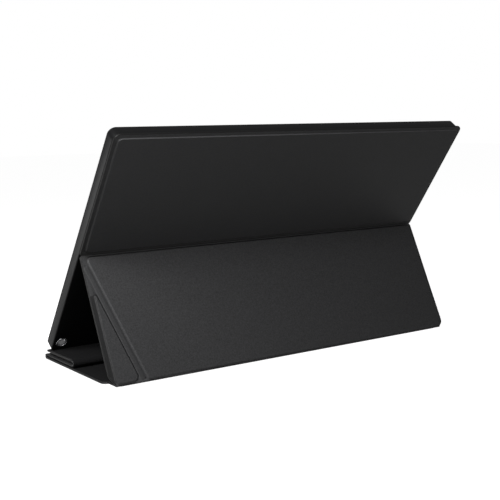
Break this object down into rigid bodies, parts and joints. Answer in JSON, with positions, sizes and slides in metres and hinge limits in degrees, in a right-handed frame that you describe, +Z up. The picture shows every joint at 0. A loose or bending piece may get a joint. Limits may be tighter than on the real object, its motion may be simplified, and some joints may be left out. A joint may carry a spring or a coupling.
{
  "type": "portable monitor with folding cover",
  "caption": "Thin portable monitor leaning back on its folded leather cover, whose upper panel holds the back while the lower panels fold into a leg and a base.",
  "frame": {"origin": "on the ground, under the middle of the front bottom edge of the monitor, on the underside of the floor panel", "axes": "+Z up, -Y towards the person who looks at the screen, +X towards the side with the pen hole, along the width"},
  "size_m": [0.36, 0.1474, 0.1995],
  "materials": {
    "housing_plastic": "satin dark grey",
    "bezel_plastic": "fine matt black",
    "screen": "anti-glare black",
    "light_guide": "clear",
    "diffuser": "white film",
    "circuit_board": "green solder mask",
    "steel": "plain sheet",
    "magnet": "nickel plated",
    "chrome": "polished",
    "cable": "flat ribbon",
    "lamp_strip": "lamp strip",
    "button_plastic": "satin black",
    "status_lens": "clear",
    "leather": "fine grained black synthetic leather",
    "lining_fabric": "short nap microfibre",
    "board_fibre": "stiff grey board"
  },
  "bodies": {
    "monitor": {"rear_housing": "housing_plastic", "front_bezel": "bezel_plastic", "screen_panel": "screen", "diffuser_sheets": "diffuser", "light_guide": "light_guide", "led_bar": "lamp_strip", "panel_frame": "steel", "panel_driver_board": "circuit_board", "flat_cable": "cable", "main_board": "circuit_board", "board_shield": "steel", "usb_c_socket": "steel", "button_board": "circuit_board", "status_light": "status_lens", "pen_hole_ring": "chrome", "panel_screws": "steel", "catch_plates": "steel", "upper_skin": "leather", "upper_board": "board_fibre", "upper_lining": "lining_fabric", "upper_magnets": "magnet", "crease_strip": "leather"},
    "power_button": {"power_button": "button_plastic"},
    "menu_button": {"menu_button": "button_plastic"},
    "leg": {"leg_skin": "leather", "leg_board": "board_fibre", "leg_lining": "lining_fabric", "foot_fold_strip": "leather"},
    "leg_flap": {"leg_flap_skin": "leather", "leg_flap_board": "board_fibre", "leg_flap_lining": "lining_fabric"},
    "spine": {"spine_skin": "leather", "spine_board": "board_fibre", "spine_lining": "lining_fabric"},
    "floor_panel": {"floor_skin": "leather", "floor_board": "board_fibre", "floor_lining": "lining_fabric", "front_fold_strip": "leather"},
    "floor_flap": {"floor_flap_skin": "leather", "floor_flap_board": "board_fibre", "floor_flap_lining": "lining_fabric"},
    "middle_panel": {"middle_skin": "leather", "middle_board": "board_fibre", "middle_lining": "lining_fabric", "rear_fold_strip": "leather"},
    "top_panel": {"top_skin": "leather", "top_board": "board_fibre", "top_lining": "lining_fabric", "top_magnets": "magnet"}
  },
  "joints": [
    {"name": "leg_fold", "type": "hinge", "parent": "monitor", "child": "leg", "pos_m": [0, 0.07413, 0.09832], "axis": [1, 0, 0], "range_deg": [-61, 0], "deforming": ["crease_strip"]},
    {"name": "spine_fold", "type": "hinge", "parent": "leg", "child": "spine", "pos_m": [0, 0.11938, 0.002], "axis": [1, 0, 0], "range_deg": [0, 115.65], "deforming": ["foot_fold_strip"]},
    {"name": "floor_fold", "type": "hinge", "parent": "spine", "child": "floor_panel", "pos_m": [0, 0.10678, 0.001], "axis": [1, 0, 0], "range_deg": [0, 115.65]},
    {"name": "front_fold", "type": "hinge", "parent": "floor_panel", "child": "middle_panel", "pos_m": [0, -0.00245, 0.0033], "axis": [1, 0, 0], "range_deg": [0, 180], "deforming": ["front_fold_strip"]},
    {"name": "rear_fold", "type": "hinge", "parent": "middle_panel", "child": "top_panel", "pos_m": [0, 0.05459, 0.00706], "axis": [1, 0, 0], "range_deg": [-179.3, 0], "deforming": ["rear_fold_strip"]},
    {"name": "leg_flap_fold", "type": "hinge", "parent": "leg", "child": "leg_flap", "pos_m": [0.15055, 0.12097, 0.001], "axis": [-0.2627, 0.4184, -0.8694], "range_deg": [-60, 0]},
    {"name": "floor_flap_fold", "type": "hinge", "parent": "floor_panel", "child": "floor_flap", "pos_m": [0.15055, 0.10678, 0.001], "axis": [0.2599, -0.9656, 0], "range_deg": [-60, 0]},
    {"name": "power_button_press", "type": "slide", "parent": "monitor", "child": "power_button", "axis": [0, 0.8121, -0.5835], "range_m": [0, 0.0004], "stiffness_N_per_m": 1500, "springref_m": -0.0003},
    {"name": "menu_button_press", "type": "slide", "parent": "monitor", "child": "menu_button", "axis": [0, 0.8121, -0.5835], "range_m": [0, 0.0004], "stiffness_N_per_m": 1500, "springref_m": -0.0003}
  ],
  "couplings": [
    {"joint": "spine_fold", "follows": "leg_fold", "ratio": -1.8951},
    {"joint": "floor_fold", "follows": "front_fold", "ratio": 0.64222},
    {"joint": "rear_fold", "follows": "front_fold", "ratio": -0.99556}
  ]
}
